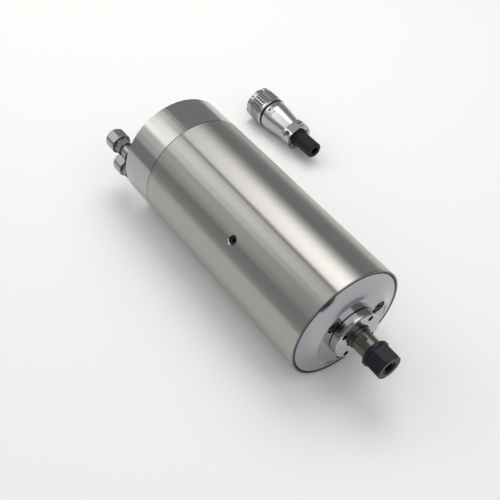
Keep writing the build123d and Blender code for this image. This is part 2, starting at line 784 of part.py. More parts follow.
# Collet nut, with the lip that snaps into the collet's groove
nut_thread_radius = nose_radius + thread_gap
lip_low_x = collet_taper_x + 2 * nut_lip_gap
lip_high_x = collet_taper_x + collet_groove_width - nut_lip_gap
lip_radius = collet_groove_radius + nut_lip_gap
collar_radius = collet_radius + thread_gap
cone_low_x = collet_front_x - collet_collar + collet_land
mouth_step = nut_front_x - collet_front_x
with BuildPart() as collet_nut:
    turn(
        (nut_back_x, nut_thread_radius + nut_thread_edge),
        (nut_back_x, nut_radius - nut_back_chamfer),
        (nut_back_x + nut_back_chamfer, nut_radius),
        (nut_front_x - nut_chamfer, nut_radius),
        (nut_front_x, nut_radius - nut_chamfer),
        (nut_front_x, nut_mouth_radius + mouth_step * nut_mouth_flare),
        (collet_front_x + 2 * nut_lip_gap, nut_mouth_radius),
        (collet_front_x + nut_lip_gap, collet_cone_radius + thread_gap),
        (cone_low_x + seat_gap, collar_radius),
        (lip_high_x, collar_radius),
        (lip_high_x, lip_radius),
        (lip_low_x, lip_radius),
        (lip_low_x, nut_thread_radius),
        (nut_back_x + nut_thread_edge, nut_thread_radius),
    )
    with BuildSketch(Plane.YZ.offset(nut_flat_start_x)) as nut_flats:
        Circle(nut_radius + cut_over)
        RegularPolygon(
            nut_across_flats / 2, 6, major_radius=False, rotation=nut_flat_angle, mode=Mode.SUBTRACT
        )
    extrude(nut_flats.sketch, amount=nut_front_x - nut_flat_start_x, mode=Mode.SUBTRACT)
collet_nut.part.label = "collet_nut"
export_step(collet_nut.part, "parts/collet_nut.step")

# Bracket of the rear bearing, a rimmed plate with a hub and the water ways through its rim
hub_radius = rear_bearing_outer + bracket_hub_wall
hub_back_x = rear_low_x - hub_overhang
web_back_x = bracket_front_x - bracket_web
rim_inner = spigot_radius - bracket_rim
with BuildPart() as rear_bearing_bracket:
    turn(
        (bracket_front_x, rear_outer_edge),
        (bracket_front_x, spigot_radius),
        (bracket_back_x, spigot_radius),
        (bracket_back_x, rim_inner),
        (web_back_x, rim_inner),
        (web_back_x, hub_radius),
        (hub_back_x, hub_radius),
        (hub_back_x, rear_bearing_outer + seat_gap),
        (bracket_front_x - bracket_lip, rear_bearing_outer + seat_gap),
        (bracket_front_x - bracket_lip, rear_outer_edge),
    )
    rods(bracket_back_x, bracket_front_x, water_way_radius, water_way_places, mode=Mode.SUBTRACT)
    tapped_x = bracket_back_x + rear_screw_reach + tap_runout
    rods(bracket_back_x, tapped_x, screw_radius + seat_gap, rear_screw_places, mode=Mode.SUBTRACT)
    wire_hole_circle = (hub_radius + rim_inner) / 2
    wire_holes = circle_of(wire_hole_circle, wire_hole_count, wire_hole_angle)
    rods(web_back_x, bracket_front_x, wire_hole_radius, wire_holes, mode=Mode.SUBTRACT)
rear_bearing_bracket.part.label = "rear_bearing_bracket"
export_step(rear_bearing_bracket.part, "parts/rear_bearing_bracket.step")

# Disc spring between the bracket's lip and the rear outer ring
with BuildPart() as preload_spring:
    turn(
        (rear_bearing_x, rear_bearing_outer - spring_width),
        (rear_bearing_x + spring_thickness, rear_bearing_outer - spring_width),
        (rear_bearing_x + spring_height, rear_bearing_outer - seat_gap),
        (rear_bearing_x + spring_height - spring_thickness, rear_bearing_outer - seat_gap),
    )
preload_spring.part.label = "preload_spring"
export_step(preload_spring.part, "parts/preload_spring.step")

# Rear cover, a thick cup with a spigot into the tube
wall_front_x = rear_face_x + rear_cover_wall
rear_oring_x = rear_seam_x + rear_spigot_length / 2
with BuildPart() as rear_cover:
    turn(
        (rear_face_x, 0),
        (rear_face_x, body_radius),
        (rear_seam_x, body_radius),
        (rear_seam_x, spigot_radius),
        (bracket_back_x, spigot_radius),
        (bracket_back_x, rear_cavity_radius),
        (wall_front_x, rear_cavity_radius),
        (wall_front_x, 0),
    )
    cover_rims = rear_cover.edges().filter_by(GeomType.CIRCLE).group_by(SortBy.RADIUS)[-1]
    chamfer(cover_rims.sort_by(Axis.X)[0], rear_chamfer)
    rear_rims = rear_cover.edges().filter_by(GeomType.CIRCLE).group_by(SortBy.RADIUS)[-1]
    chamfer(rear_rims.sort_by(Axis.X)[-1], seam_chamfer)
    rear_groove_x = rear_oring_x - oring_groove_width / 2
    rear_groove_end_x = rear_groove_x + oring_groove_width
    ring(rear_groove_x, rear_groove_end_x, groove_floor, spigot_radius, mode=Mode.SUBTRACT)
    port_bottom_x = rear_face_x + port_thread_length + port_edge
    rods(port_bottom_x, bracket_back_x, water_way_radius, water_way_places, mode=Mode.SUBTRACT)
    rods(rear_face_x, port_bottom_x, port_thread_radius + seat_gap, port_places, mode=Mode.SUBTRACT)
    rods(rear_face_x, bracket_back_x, screw_radius + seat_gap, rear_screw_places, mode=Mode.SUBTRACT)
    rear_seat_x = rear_face_x + counterbore_depth
    rods(rear_face_x, rear_seat_x, screw_head_radius + head_gap, rear_screw_places, mode=Mode.SUBTRACT)
    socket_hole = socket_thread_radius + seat_gap
    rods(rear_face_x, wall_front_x, socket_hole, [socket_centre], mode=Mode.SUBTRACT)
rear_cover.part.label = "rear_cover"
export_step(rear_cover.part, "parts/rear_cover.step")

with BuildPart() as rear_oring:
    with BuildSketch() as rear_oring_section:
        with Locations((rear_oring_x, oring_centre)):
            Circle(oring_radius)
    revolve(rear_oring_section.sketch, axis=Axis.X)
rear_oring.part.label = "rear_oring"
export_step(rear_oring.part, "parts/rear_oring.step")

with BuildPart() as rear_cover_screws:
    rods(rear_seat_x - screw_head_height, rear_seat_x, screw_head_radius, rear_screw_places)
    rods(rear_seat_x, bracket_back_x + rear_screw_reach, screw_radius, rear_screw_places)
    rear_key_x = rear_seat_x - screw_head_height
    hexes(rear_key_x, rear_key_x + screw_key_depth, screw_key_width, rear_screw_places, mode=Mode.SUBTRACT)
rear_cover_screws.part.label = "rear_cover_screws"
export_step(rear_cover_screws.part, "parts/rear_cover_screws.step")

# Hose fittings, a hollow threaded body each, with a sealing washer under it
washer_x = rear_face_x - port_washer_thickness
hex_front_x = washer_x - port_neck_length
hex_back_x = hex_front_x - port_hex_length
screw_end_x = hex_back_x - port_screw_length
nozzle_end_x = screw_end_x - hose_nozzle_length
with BuildPart() as port_washers:
    rods(washer_x, rear_face_x, port_washer_radius, port_places)
    rods(washer_x, rear_face_x, port_thread_radius + seat_gap, port_places, mode=Mode.SUBTRACT)
port_washers.part.label = "port_washers"
export_step(port_washers.part, "parts/port_washers.step")


def fitting_body(place):
    """One fitting body, from its thread in the rear cover to its nozzle."""
    turned_at(
        place,
        (rear_face_x + port_thread_length, hose_bore_radius),
        (rear_face_x + port_thread_length, port_thread_radius),
        (washer_x, port_thread_radius),
        (washer_x, port_neck_radius + port_collar_height),
        (washer_x - port_collar_length, port_neck_radius + port_collar_height),
        (washer_x - port_collar_length, port_neck_radius),
        (hex_back_x, port_neck_radius),
        (hex_back_x, port_screw_radius),
        (screw_end_x + port_edge, port_screw_radius),
        (screw_end_x, port_screw_radius - port_edge),
        (screw_end_x, hose_nozzle_radius),
        (nozzle_end_x, hose_nozzle_radius),
        (nozzle_end_x, hose_bore_radius),
    )
    hexes(hex_back_x, hex_front_x, port_hex_width, [place])
    rods(nozzle_end_x, hex_front_x, hose_bore_radius, [place], mode=Mode.SUBTRACT)


def hose_nut(place):
    """One hose nut, a domed hexagon that is bored for the hose."""
    nut_front = hex_back_x - seal_gap
    nut_back = nut_front - hose_nut_length
    turned_at(
        place,
        (nut_front, port_screw_radius + thread_gap),
        (nut_front, hose_nut_radius - hose_nut_edge),
        (nut_front - hose_nut_edge, hose_nut_radius),
        (nut_back + hose_nut_dome, hose_nut_radius),
        (nut_back + hose_nut_dome_face, hose_nut_radius - hose_nut_dome_drop),
        (nut_back, hose_nut_radius - hose_nut_dome),
        (nut_back, hose_radius),
        (nut_back + hose_mouth_length, hose_radius),
        (screw_end_x - port_edge, port_screw_radius + thread_gap),
    )
    with BuildSketch(Plane.YZ.offset(nut_back)) as nut_rim:
        with Locations(place):
            Circle(hose_nut_radius + cut_over)
            RegularPolygon(
                hose_nut_width / 2, 6, major_radius=False, rotation=hose_nut_angle, mode=Mode.SUBTRACT
            )
    extrude(nut_rim.sketch, amount=hose_nut_length, mode=Mode.SUBTRACT)


with BuildPart() as upper_fitting:
    fitting_body(port_places[0])
upper_fitting.part.label = "upper_fitting"
export_step(upper_fitting.part, "parts/upper_fitting.step")

with BuildPart() as lower_fitting:
    fitting_body(port_places[1])
lower_fitting.part.label = "lower_fitting"
export_step(lower_fitting.part, "parts/lower_fitting.step")

with BuildPart() as upper_hose_nut:
    hose_nut(port_places[0])
upper_hose_nut.part.label = "upper_hose_nut"
export_step(upper_hose_nut.part, "parts/upper_hose_nut.step")

with BuildPart() as lower_hose_nut:
    hose_nut(port_places[1])
lower_hose_nut.part.label = "lower_hose_nut"
export_step(lower_hose_nut.part, "parts/lower_hose_nut.step")

# Power socket, its shell, nut, insert and pins
socket_back_x = rear_face_x - socket_flange_thickness - socket_reach
socket_front_x = wall_front_x + socket_depth
socket_bore_radius = socket_thread_radius - socket_shell_wall
insert_back_x = socket_back_x + socket_mouth_depth
with BuildPart() as socket_shell:
    rods(socket_back_x, socket_front_x, socket_thread_radius, [socket_centre])
    rods(rear_face_x - socket_flange_thickness, rear_face_x, socket_flange_radius, [socket_centre])
    rods(socket_back_x, socket_front_x, socket_bore_radius, [socket_centre], mode=Mode.SUBTRACT)
    socket_mouth = socket_shell.edges().filter_by(GeomType.CIRCLE).sort_by(Axis.X)[0:2]
    chamfer(socket_mouth, socket_edge)
socket_shell.part.label = "socket_shell"
export_step(socket_shell.part, "parts/socket_shell.step")

with BuildPart() as socket_nut:
    hexes(wall_front_x, wall_front_x + socket_nut_thickness, socket_nut_width, [socket_centre])
    nut_hole = socket_thread_radius + seat_gap
    rods(wall_front_x, wall_front_x + socket_nut_thickness, nut_hole, [socket_centre], mode=Mode.SUBTRACT)
socket_nut.part.label = "socket_nut"
export_step(socket_nut.part, "parts/socket_nut.step")

pin_places = [(y + socket_offset_y, z) for y, z in circle_of(pin_circle, pin_count, pin_angle)]
insert_front_x = insert_back_x + pin_reach + insert_thickness
with BuildPart() as socket_insert:
    rods(insert_back_x + pin_reach, insert_front_x, socket_bore_radius - seat_gap, [socket_centre])
    rods(insert_back_x + pin_reach, insert_front_x, pin_radius + shaft_gap, pin_places, mode=Mode.SUBTRACT)
socket_insert.part.label = "socket_insert"
export_step(socket_insert.part, "parts/socket_insert.step")

with BuildPart() as socket_pins:
    rods(insert_back_x, insert_front_x + pin_tail, pin_radius, pin_places)
socket_pins.part.label = "socket_pins"
export_step(socket_pins.part, "parts/socket_pins.step")

# Plug coupling ring, scalloped at its front edge and threaded inside
plug_up = Vector(0, *on_circle(1, 90 + plug_roll))
ring_bore_radius = socket_thread_radius + thread_gap
barrel_radius = socket_bore_radius - seal_gap
with BuildPart() as plug_ring:
    turned_at(
        plug_centre,
        (plug_front_x, ring_bore_radius),
        (plug_front_x, plug_ring_radius - plug_ring_edge),
        (plug_front_x + plug_ring_edge, plug_ring_radius),
        (plug_seam_x - plug_ring_edge, plug_ring_radius),
        (plug_seam_x, plug_ring_radius - plug_ring_edge),
        (plug_seam_x, barrel_radius + seal_gap),
        (plug_seam_x - plug_ring_lip, barrel_radius + seal_gap),
        (plug_seam_x - plug_ring_lip, ring_bore_radius),
    )
    scallop_start = plug_roll + 180 / plug_scallop_count
    scallop_circle = plug_ring_radius + plug_scallop_radius - plug_scallop_depth
    with BuildSketch(Plane.YZ.offset(plug_front_x)) as scallops:
        with Locations(plug_centre):
            with PolarLocations(scallop_circle, plug_scallop_count, start_angle=scallop_start):
                Circle(plug_scallop_radius)
    extrude(scallops.sketch, amount=plug_scallop_length, mode=Mode.SUBTRACT)
plug_ring.part.label = "plug_ring"
export_step(plug_ring.part, "parts/plug_ring.step")

# Rubber ring between the coupling ring and the shell
seal_radius = plug_shell_radius - plug_seal_step
with BuildPart() as plug_seal:
    turned_at(
        plug_centre,
        (plug_seam_x + shaft_gap, barrel_radius + seat_gap),
        (plug_seam_x + shaft_gap, seal_radius),
        (plug_shell_x, seal_radius),
        (plug_shell_x, barrel_radius + seat_gap),
    )
plug_seal.part.label = "plug_seal"
export_step(plug_seal.part, "parts/plug_seal.step")

# Keyed barrel that enters the socket, with the insert and contacts
barrel_front_x = plug_front_x + plug_barrel_setback
barrel_bore_radius = barrel_radius - plug_barrel_wall
key_angle = 90 + plug_roll
with BuildPart() as plug_barrel:
    rods(barrel_front_x, plug_taper_x, barrel_radius, [plug_centre])
    rods(barrel_front_x, plug_taper_x, barrel_bore_radius, [plug_centre], mode=Mode.SUBTRACT)
    with BuildSketch(Plane.YZ.offset(barrel_front_x)) as keyway:
        with Locations(plug_centre):
            with PolarLocations(barrel_radius - plug_barrel_wall / 2, 1, start_angle=key_angle):
                Rectangle(2 * plug_barrel_wall, plug_key_width)
    extrude(keyway.sketch, amount=plug_key_length, mode=Mode.SUBTRACT)
plug_barrel.part.label = "plug_barrel"
export_step(plug_barrel.part, "parts/plug_barrel.step")

contact_ring = circle_of(pin_circle, pin_count, pin_angle + plug_roll)
contact_places = [(y + plug_y, z + plug_z) for y, z in contact_ring]
contact_radius = pin_radius + contact_wall
contact_hole = contact_radius + shaft_gap
contact_front_x = barrel_front_x + contact_setback
plug_insert_back_x = plug_taper_x - plug_insert_back
with BuildPart() as plug_insert:
    rods(contact_front_x, plug_insert_back_x, barrel_bore_radius - seat_gap, [plug_centre])
    rods(contact_front_x, plug_insert_back_x, contact_hole, contact_places, mode=Mode.SUBTRACT)
plug_insert.part.label = "plug_insert"
export_step(plug_insert.part, "parts/plug_insert.step")

with BuildPart() as plug_contacts:
    rods(contact_front_x, plug_taper_x + contact_tail, contact_radius, contact_places)
    contact_bore_x = contact_front_x + contact_bore_length
    contact_bore = pin_radius + contact_gap
    rods(contact_front_x, contact_bore_x, contact_bore, contact_places, mode=Mode.SUBTRACT)
plug_contacts.part.label = "plug_contacts"
export_step(plug_contacts.part, "parts/plug_contacts.step")


def plug_level(x, height):
    """A plane square to the plug's upright direction, at a height above its axis."""
    middle = Vector(x, plug_y, plug_z) + plug_up * height
    return Plane(origin=middle, x_dir=(1, 0, 0), z_dir=plug_up)


def clamp_half(side):
    """Half of the cable clamp, above the split when side is 1 and below it when side is -1."""
    with BuildSketch(Plane.YZ.offset(plug_clamp_x)) as clamp_outline:
        with Locations(plug_centre):
            with Locations(Rotation(0, 0, plug_roll)):
                RectangleRounded(plug_clamp_width, plug_clamp_height, plug_clamp_corner)
                Circle(sleeve_waist_radius + seat_gap, mode=Mode.SUBTRACT)
                with Locations((0, -side * plug_clamp_height / 2)):
                    cleared = plug_clamp_height + plug_clamp_gap
                    Rectangle(plug_clamp_width, cleared, mode=Mode.SUBTRACT)
    extrude(clamp_outline.sketch, amount=plug_clamp_length)


def clamp_pair(level, radius, reach, slot=0.0, mode=Mode.ADD):
    """Two round bars or holes at the clamp's screws, from a level up or down by the reach."""
    with BuildSketch(plug_level(plug_clamp_x + plug_clamp_length / 2, level)) as pair:
        with GridLocations(1, 2 * plug_screw_offset, 1, 2):
            Circle(radius)
            if slot:
                Rectangle(2 * radius, slot, mode=Mode.SUBTRACT)
    extrude(pair.sketch, amount=reach, mode=mode)


# Tapered shell, with two milled flats and the lower half of the cable clamp
grub_x = plug_shell_x + plug_shell_straight / 2
taper_angle = degrees(atan2(plug_shell_radius - plug_neck_radius, plug_shell_taper))
flat_radius = plug_shell_radius - (plug_flat_start - plug_shell_straight) * tan(radians(taper_angle))
with BuildPart() as plug_shell:
    turned_at(
        plug_centre,
        (plug_shell_x, barrel_radius + seat_gap),
        (plug_shell_x, plug_shell_radius),
        (plug_taper_x, plug_shell_radius),
        (plug_clamp_x, plug_neck_radius),
        (plug_clamp_x, plug_neck_radius - plug_shell_wall),
        (plug_taper_x, barrel_radius + seal_gap),
        (plug_taper_x, barrel_radius + seat_gap),
    )
    for side in (1, -1):
        flat_start = plug_up * (side * (flat_radius - plug_flat_depth))
        flat_plane = Plane(
            origin=Vector(plug_shell_x + plug_flat_start, plug_y, plug_z) + flat_start,
            x_dir=Vector(cos(radians(taper_angle)), 0, 0) - plug_up * (side * sin(radians(taper_angle))),
            z_dir=Vector(sin(radians(taper_angle)), 0, 0) + plug_up * (side * cos(radians(taper_angle))),
        )
        with BuildSketch(flat_plane) as shell_flat:
            with Locations((plug_flat_length / 2, 0)):
                SlotOverall(plug_flat_length, plug_flat_width)
        extrude(shell_flat.sketch, amount=plug_flat_width, mode=Mode.SUBTRACT)
    clamp_half(-1)
    clamp_pair(-plug_clamp_gap / 2, plug_screw_radius + seat_gap, -plug_tap_depth, mode=Mode.SUBTRACT)
    with BuildSketch(plug_level(grub_x, plug_shell_radius)) as grub_hole:
        Circle(grub_radius + seat_gap)
    extrude(grub_hole.sketch, amount=-2 * plug_shell_wall, mode=Mode.SUBTRACT)
plug_shell.part.label = "plug_shell"
export_step(plug_shell.part, "parts/plug_shell.step")

# Clamp saddle above the cable sleeve, with a pit for each screw head
with BuildPart() as clamp_saddle:
    clamp_half(1)
    clamp_pair(plug_pit_height, plug_pit_radius, plug_clamp_height, mode=Mode.SUBTRACT)
    clamp_pair(0, plug_screw_radius + seat_gap, plug_clamp_height, mode=Mode.SUBTRACT)
clamp_saddle.part.label = "clamp_saddle"
export_step(clamp_saddle.part, "parts/clamp_saddle.step")

with BuildPart() as clamp_screws:
    clamp_pair(plug_pit_height, plug_screw_head_radius, plug_screw_head_height, slot=plug_screw_slot)
    clamp_reach = plug_pit_height + plug_clamp_gap / 2 + plug_screw_reach
    clamp_pair(plug_pit_height, plug_screw_radius, -clamp_reach)
clamp_screws.part.label = "clamp_screws"
export_step(clamp_screws.part, "parts/clamp_screws.step")

# Rubber sleeve for the cable, waisted where the clamp grips it, with a flange beyond
sleeve_front_x = plug_clamp_x + sleeve_length
with BuildPart() as cable_sleeve:
    turned_at(
        plug_centre,
        (plug_clamp_x - sleeve_tail, sleeve_bore_radius),
        (plug_clamp_x - sleeve_tail, sleeve_waist_radius),
        (plug_back_x, sleeve_waist_radius),
        (plug_back_x, sleeve_flange_radius),
        (plug_back_x + sleeve_flange_face, sleeve_flange_radius),
        (plug_back_x + sleeve_flange_width, sleeve_radius),
        (sleeve_front_x - sleeve_edge, sleeve_radius),
        (sleeve_front_x, sleeve_radius - sleeve_edge),
        (sleeve_front_x, sleeve_bore_radius),
    )
cable_sleeve.part.label = "cable_sleeve"
export_step(cable_sleeve.part, "parts/cable_sleeve.step")

# Small set screw that locks the shell to the barrel
with BuildPart() as plug_set_screw:
    with BuildSketch(plug_level(grub_x, plug_shell_radius + grub_rise)) as grub:
        Circle(grub_radius)
    extrude(grub.sketch, amount=-grub_length)
plug_set_screw.part.label = "plug_set_screw"
export_step(plug_set_screw.part, "parts/plug_set_screw.step")
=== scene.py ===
import math

import bmesh
import bpy
from mathutils import Matrix, Vector


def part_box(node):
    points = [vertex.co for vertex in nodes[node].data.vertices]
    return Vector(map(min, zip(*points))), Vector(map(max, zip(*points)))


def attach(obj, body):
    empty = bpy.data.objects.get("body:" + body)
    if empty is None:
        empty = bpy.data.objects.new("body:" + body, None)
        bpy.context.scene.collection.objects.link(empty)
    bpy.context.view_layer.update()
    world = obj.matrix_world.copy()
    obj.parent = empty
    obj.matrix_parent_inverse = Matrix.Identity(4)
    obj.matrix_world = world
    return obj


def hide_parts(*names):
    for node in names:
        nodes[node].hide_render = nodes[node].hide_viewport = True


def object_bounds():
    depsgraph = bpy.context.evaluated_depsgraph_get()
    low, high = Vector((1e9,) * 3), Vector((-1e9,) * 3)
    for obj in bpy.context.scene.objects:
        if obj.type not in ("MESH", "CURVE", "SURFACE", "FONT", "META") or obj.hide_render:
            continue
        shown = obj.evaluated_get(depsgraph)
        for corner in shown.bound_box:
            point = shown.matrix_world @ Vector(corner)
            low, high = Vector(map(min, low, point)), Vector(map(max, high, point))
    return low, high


# Looks of the motor spindle and its loose plug: finishes, three pieces of the plug that replace
# their solids, floor, lights and camera.
# Everything is in metres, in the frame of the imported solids: the spindle axis is X and Z is up.

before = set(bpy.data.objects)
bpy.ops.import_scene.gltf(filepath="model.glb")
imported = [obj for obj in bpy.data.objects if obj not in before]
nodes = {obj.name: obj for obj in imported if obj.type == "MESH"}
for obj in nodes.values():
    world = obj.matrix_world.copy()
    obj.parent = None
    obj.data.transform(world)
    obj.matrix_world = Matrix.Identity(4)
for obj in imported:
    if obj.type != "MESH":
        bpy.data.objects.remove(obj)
cad_low, cad_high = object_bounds()
MM = 0.001

# View of the photograph: where the camera stands, seen from the point it looks at
VIEW_AZIMUTH = math.radians(53.9)
VIEW_ELEVATION = math.radians(50.27)
VIEW_DISTANCE = 0.52224
VIEW_TARGET = Vector((-0.0828, -0.0110, -0.0035))
VIEW_LENS = 57.7
SENSOR_WIDTH = 36.0

# Axis of the spindle, as its y and z
SPINDLE_AXIS = (0.0, 0.0)

# Grain of the materials: clouds are the slow change in tone over a surface
CLOUD_SCALE = 60.0
CLOUD_TO_GRAIN = 0.12
RING_DETAIL = 4.0
GRAIN_DETAIL = 5.0
QUARTER_TURN = 0.25

# Two points of a mesh that are nearer than this, in metres, become one
MERGE_DISTANCE = 1e-7


def axis_of(node):
    """The (y, z) middle of a node, which is its axis when the node is turned."""
    low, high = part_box(node)
    return ((low.y + high.y) / 2, (low.z + high.z) / 2)


def add(tree, kind, **settings):
    """A new node with its properties set."""
    node = tree.nodes.new(kind)
    for name, value in settings.items():
        setattr(node, name, value)
    return node


def calculate(tree, operation, *values):
    """A Math node fed by sockets or numbers. Returns its output."""
    node = add(tree, "ShaderNodeMath", operation=operation)
    for socket, value in zip(node.inputs, values):
        if isinstance(value, (int, float)):
            socket.default_value = value
        else:
            tree.links.new(value, socket)
    return node.outputs[0]


def local_place(tree, centre=SPINDLE_AXIS):
    """Sockets x, y, z of a point on the piece, with y and z counted from the axis of the piece."""
    place = add(tree, "ShaderNodeTexCoord")
    parts = add(tree, "ShaderNodeSeparateXYZ")
    tree.links.new(place.outputs["Object"], parts.inputs[0])
    y_place = calculate(tree, "SUBTRACT", parts.outputs[1], centre[0])
    z_place = calculate(tree, "SUBTRACT", parts.outputs[2], centre[1])
    return parts.outputs[0], y_place, z_place


def ring_radius(tree, y_place, z_place):
    """Distance from the axis of the piece."""
    square = calculate(tree, "MULTIPLY", y_place, y_place)
    total = calculate(tree, "MULTIPLY_ADD", z_place, z_place, square)
    return calculate(tree, "SQRT", total)


def vector_of(tree, x_value, y_value, z_value):
    """Joins three sockets or numbers into a vector."""
    node = add(tree, "ShaderNodeCombineXYZ")
    for socket, value in zip(node.inputs, (x_value, y_value, z_value)):
        if isinstance(value, (int, float)):
            socket.default_value = value
        else:
            tree.links.new(value, socket)
    return node.outputs[0]


def noise(tree, vector, scale, detail=3.0, roughness=0.55):
    """A noise value between 0 and 1."""
    node = add(tree, "ShaderNodeTexNoise")
    node.inputs["Scale"].default_value = scale
    node.inputs["Detail"].default_value = detail
    node.inputs["Roughness"].default_value = roughness
    tree.links.new(vector, node.inputs["Vector"])
    return node.outputs[0]


def spread(tree, value, low, high):
    """Maps a 0 to 1 value onto a range."""
    node = add(tree, "ShaderNodeMapRange")
    node.inputs["To Min"].default_value = low
    node.inputs["To Max"].default_value = high
    tree.links.new(value, node.inputs["Value"])
    return node.outputs[0]


def blend_colours(tree, value, first, second):
    """A colour that runs from the first to the second as the value goes from 0 to 1."""
    ramp = add(tree, "ShaderNodeValToRGB")
    ramp.color_ramp.elements[0].color = (*first, 1.0)
    ramp.color_ramp.elements[1].color = (*second, 1.0)
    tree.links.new(value, ramp.inputs[0])
    return ramp.outputs[0]


def bumps(tree, shader, height, depth, strength=1.0):
    """Raises the surface by a height value times a depth in metres."""
    node = add(tree, "ShaderNodeBump")
    node.inputs["Distance"].default_value = depth
    node.inputs["Strength"].default_value = strength
    tree.links.new(height, node.inputs["Height"])
    tree.links.new(node.outputs[0], shader.inputs["Normal"])


def between(tree, value, low, high):
    """1 where a value lies between two bounds, else 0."""
    return calculate(tree, "COMPARE", value, (low + high) / 2, (high - low) / 2)


def shaded(tree, colour, mask, amount):
    """A colour that loses a share of its strength where the mask is 1."""
    node = add(tree, "ShaderNodeVectorMath", operation="SCALE")
    tree.links.new(colour, node.inputs[0])
    tree.links.new(calculate(tree, "MULTIPLY_ADD", mask, -amount, 1.0), node.inputs["Scale"])
    return node.outputs[0]


def new_finish(name, metallic, ior=1.5):
    """A new material with its shader."""
    material = bpy.data.materials.new(name)
    material.use_nodes = True
    tree = material.node_tree
    shader = tree.nodes["Principled BSDF"]
    shader.inputs["Metallic"].default_value = metallic
    shader.inputs["IOR"].default_value = ior
    return material, tree, shader


def turned_metal(name, dark, light, smooth, coarse, centre=SPINDLE_AXIS, pitch=0.35 * MM,
                 depth=0.4e-6, stretch=0.0, metallic=1.0, ior=1.5, painted_shade=()):
    """Metal with the fine rings that a lathe or a polishing belt leaves round the axis.

    Each band of painted shade is a pair of x bounds, a pair of radius bounds and a share: there the
    colour is darkened, as shade in a joint or groove would be."""
    material, tree, shader = new_finish(name, metallic, ior)
    x_place, y_place, z_place = local_place(tree, centre)
    radius = ring_radius(tree, y_place, z_place)
    ring_place = vector_of(
        tree,
        calculate(tree, "MULTIPLY", x_place, 1 / pitch),
        calculate(tree, "MULTIPLY", radius, 1 / pitch),
        0.0,
    )
    rings = noise(tree, ring_place, 1.0, detail=RING_DETAIL)
    cloud = noise(tree, vector_of(tree, x_place, y_place, z_place), CLOUD_SCALE)
    mixed = calculate(tree, "MULTIPLY_ADD", rings, 0.5, calculate(tree, "MULTIPLY", cloud, 0.5))
    colour = blend_colours(tree, mixed, dark, light)
    # Painted shade: each band darkens the colour where shade would fall in a joint or groove
    for x_low, x_high, inner, outer, amount in painted_shade:
        lengthwise = between(tree, x_place, x_low * MM, x_high * MM)
        across = between(tree, radius, inner * MM, outer * MM)
        colour = shaded(tree, colour, calculate(tree, "MULTIPLY", lengthwise, across), amount)
    tree.links.new(colour, shader.inputs["Base Color"])
    tree.links.new(spread(tree, mixed, smooth, coarse), shader.inputs["Roughness"])
    bumps(tree, shader, rings, depth)
    if stretch:
        shader.inputs["Anisotropic"].default_value = stretch
        shader.inputs["Anisotropic Rotation"].default_value = QUARTER_TURN
        tangent = add(tree, "ShaderNodeTangent", direction_type="RADIAL", axis="X")
        tree.links.new(tangent.outputs[0], shader.inputs["Tangent"])
    return material


def cast_metal(name, dark, light, smooth, coarse, grain=1.2 * MM, depth=2e-6, metallic=1.0,
               ior=1.5):
    """Metal with an even, fine grain, as left by plating, blackening or machining."""
    material, tree, shader = new_finish(name, metallic, ior)
    x_place, y_place, z_place = local_place(tree)
    place = vector_of(tree, x_place, y_place, z_place)
    grains = noise(tree, place, 1 / grain, detail=GRAIN_DETAIL)
    cloud = noise(tree, place, CLOUD_TO_GRAIN / grain)
    mixed = calculate(tree, "MULTIPLY_ADD", grains, 0.5, calculate(tree, "MULTIPLY", cloud, 0.5))
    tree.links.new(blend_colours(tree, mixed, dark, light), shader.inputs["Base Color"])
    tree.links.new(spread(tree, mixed, smooth, coarse), shader.inputs["Roughness"])
    bumps(tree, shader, grains, depth)
    return material


def plain_stuff(name, dark, light, smooth, coarse, grain=0.8 * MM, depth=6e-6, ior=1.32):
    """Rubber, resin or enamel: not a metal, with a fine grain."""
    return cast_metal(name, dark, light, smooth, coarse, grain, depth, metallic=0.0, ior=ior)


def dress(material, *names):
    """Gives CAD nodes a material."""
    for name in names:
        mesh = nodes[name].data
        mesh.materials.clear()
        mesh.materials.append(material)


# Finishes
WARM_DARK = (0.350, 0.346, 0.330)
WARM_LIGHT = (0.415, 0.410, 0.395)
CAP_DARK = (0.350, 0.350, 0.345)
CAP_LIGHT = (0.405, 0.405, 0.400)
COVER_DARK = (0.360, 0.373, 0.393)
COVER_LIGHT = (0.415, 0.428, 0.448)
CHROME_DARK = (0.430, 0.433, 0.438)
CHROME_LIGHT = (0.520, 0.523, 0.528)
SHAFT_DARK = (0.095, 0.088, 0.080)
SHAFT_LIGHT = (0.155, 0.145, 0.133)
NUT_DARK = (0.008, 0.009, 0.014)
NUT_LIGHT = (0.016, 0.018, 0.026)
NICKEL_DARK = (0.240, 0.243, 0.243)
NICKEL_LIGHT = (0.330, 0.334, 0.334)
PLUG_DARK = (0.380, 0.385, 0.385)
PLUG_LIGHT = (0.470, 0.475, 0.475)

# Painted shade in the gaps between tube, covers and lock ring, and on the tube's rim chamfer:
# x bounds, radius bounds and how much darker, in millimetres
TUBE_PAINTED_SHADE = (
    (-0.6, 0.2, 40.3, 41.2, 0.45),
    (-0.6, 0.2, 39.0, 40.3, 0.93),
    (-161.2, -160.75, 40.5, 41.2, 0.75),
)
CAP_PAINTED_SHADE = ((-161.3, -160.9, 40.5, 41.2, 0.75),)
COVER_PAINTED_SHADE = ((-1.0, 0.25, 38.9, 39.6, 0.9),)
LOCK_RING_PAINTED_SHADE = ((4.9, 5.5, 17.0, 17.5, 0.93),)

